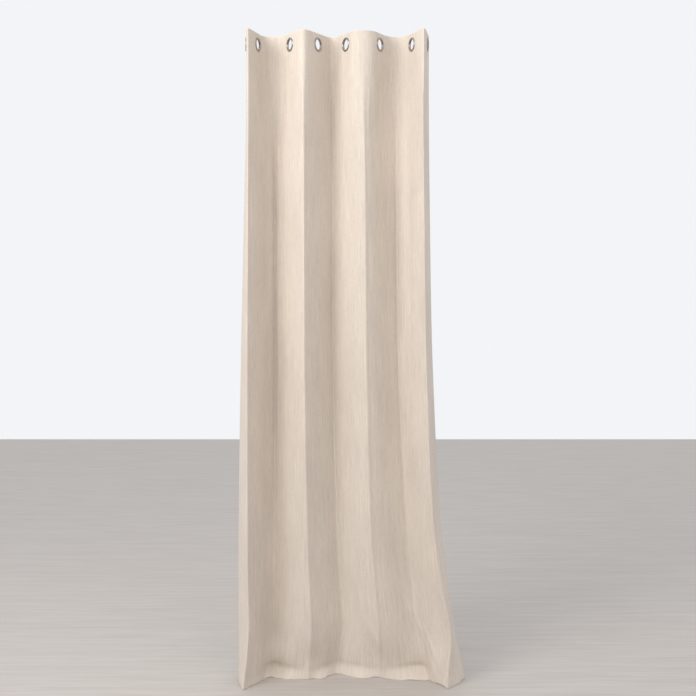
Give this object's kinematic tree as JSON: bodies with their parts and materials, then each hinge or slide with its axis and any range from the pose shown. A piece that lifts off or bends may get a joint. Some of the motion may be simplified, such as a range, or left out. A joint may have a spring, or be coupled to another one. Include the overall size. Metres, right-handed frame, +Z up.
{
  "type": "eyelet curtain panel",
  "caption": "Full-length unlined curtain panel of linen-look cloth, hung in soft folds from metal eyelets that slide on a pole",
  "frame": {"origin": "on the axis of the pole that the panel hangs from, near the middle of the panel", "axes": "+X along the pole to the right as seen from the room, +Y from the room to the wall, +Z up; the room side of the panel faces -Y"},
  "size_m": [0.9146, 0.1749, 2.582],
  "materials": {
    "linen_cloth": "matt, slubby plain weave",
    "stiffener_tape": "matt, felted",
    "satin_nickel": "satin"
  },
  "bodies": {
    "station_1": {"cloth_1": "linen_cloth", "header_1": "linen_cloth", "header_stiffener_1": "stiffener_tape", "bottom_hem_1": "linen_cloth", "eyelet_front_1": "satin_nickel", "eyelet_back_1": "satin_nickel", "side_hem_left": "linen_cloth"},
    "station_2": {"cloth_2": "linen_cloth", "header_2": "linen_cloth", "header_stiffener_2": "stiffener_tape", "bottom_hem_2": "linen_cloth", "eyelet_front_2": "satin_nickel", "eyelet_back_2": "satin_nickel"},
    "station_3": {"cloth_3": "linen_cloth", "header_3": "linen_cloth", "header_stiffener_3": "stiffener_tape", "bottom_hem_3": "linen_cloth", "eyelet_front_3": "satin_nickel", "eyelet_back_3": "satin_nickel"},
    "station_4": {"cloth_4": "linen_cloth", "header_4": "linen_cloth", "header_stiffener_4": "stiffener_tape", "bottom_hem_4": "linen_cloth", "eyelet_front_4": "satin_nickel", "eyelet_back_4": "satin_nickel"},
    "station_5": {"cloth_5": "linen_cloth", "header_5": "linen_cloth", "header_stiffener_5": "stiffener_tape", "bottom_hem_5": "linen_cloth", "eyelet_front_5": "satin_nickel", "eyelet_back_5": "satin_nickel"},
    "station_6": {"cloth_6": "linen_cloth", "header_6": "linen_cloth", "header_stiffener_6": "stiffener_tape", "bottom_hem_6": "linen_cloth", "eyelet_front_6": "satin_nickel", "eyelet_back_6": "satin_nickel"},
    "station_7": {"cloth_7": "linen_cloth", "header_7": "linen_cloth", "header_stiffener_7": "stiffener_tape", "bottom_hem_7": "linen_cloth", "eyelet_front_7": "satin_nickel", "eyelet_back_7": "satin_nickel"},
    "station_8": {"cloth_8": "linen_cloth", "header_8": "linen_cloth", "header_stiffener_8": "stiffener_tape", "bottom_hem_8": "linen_cloth", "eyelet_front_8": "satin_nickel", "eyelet_back_8": "satin_nickel", "side_hem_right": "linen_cloth"}
  },
  "joints": [
    {"name": "eyelet_2_slide", "type": "slide", "parent": "station_1", "child": "station_2", "axis": [1, 0, 0], "range_m": [-0.0096, 0.0071], "deforming": ["cloth_1", "header_1", "header_stiffener_1", "bottom_hem_1", "cloth_2", "header_2", "header_stiffener_2", "bottom_hem_2"]},
    {"name": "eyelet_3_slide", "type": "slide", "parent": "station_2", "child": "station_3", "axis": [1, 0, 0], "range_m": [-0.0559, 0.0407], "deforming": ["cloth_3", "header_3", "header_stiffener_3", "bottom_hem_3"]},
    {"name": "eyelet_4_slide", "type": "slide", "parent": "station_3", "child": "station_4", "axis": [1, 0, 0], "range_m": [-0.0427, 0.0311], "deforming": ["cloth_4", "header_4", "header_stiffener_4", "bottom_hem_4"]},
    {"name": "eyelet_5_slide", "type": "slide", "parent": "station_4", "child": "station_5", "axis": [1, 0, 0], "range_m": [-0.0427, 0.0311], "deforming": ["cloth_5", "header_5", "header_stiffener_5", "bottom_hem_5"]},
    {"name": "eyelet_6_slide", "type": "slide", "parent": "station_5", "child": "station_6", "axis": [1, 0, 0], "range_m": [-0.062, 0.045], "deforming": ["cloth_6", "header_6", "header_stiffener_6", "bottom_hem_6"]},
    {"name": "eyelet_7_slide", "type": "slide", "parent": "station_6", "child": "station_7", "axis": [1, 0, 0], "range_m": [-0.0551, 0.0401], "deforming": ["cloth_7", "header_7", "header_stiffener_7", "bottom_hem_7"]},
    {"name": "eyelet_8_slide", "type": "slide", "parent": "station_7", "child": "station_8", "axis": [1, 0, 0], "range_m": [-0.0179, 0.0131], "deforming": ["cloth_8", "header_8", "header_stiffener_8", "bottom_hem_8"]}
  ],
  "couplings": [
    {"joint": "eyelet_2_slide", "follows": "eyelet_6_slide", "ratio": 0.147},
    {"joint": "eyelet_3_slide", "follows": "eyelet_6_slide", "ratio": 0.893},
    {"joint": "eyelet_4_slide", "follows": "eyelet_6_slide", "ratio": 0.68},
    {"joint": "eyelet_5_slide", "follows": "eyelet_6_slide", "ratio": 0.68},
    {"joint": "eyelet_7_slide", "follows": "eyelet_6_slide", "ratio": 0.88},
    {"joint": "eyelet_8_slide", "follows": "eyelet_6_slide", "ratio": 0.28}
  ]
}
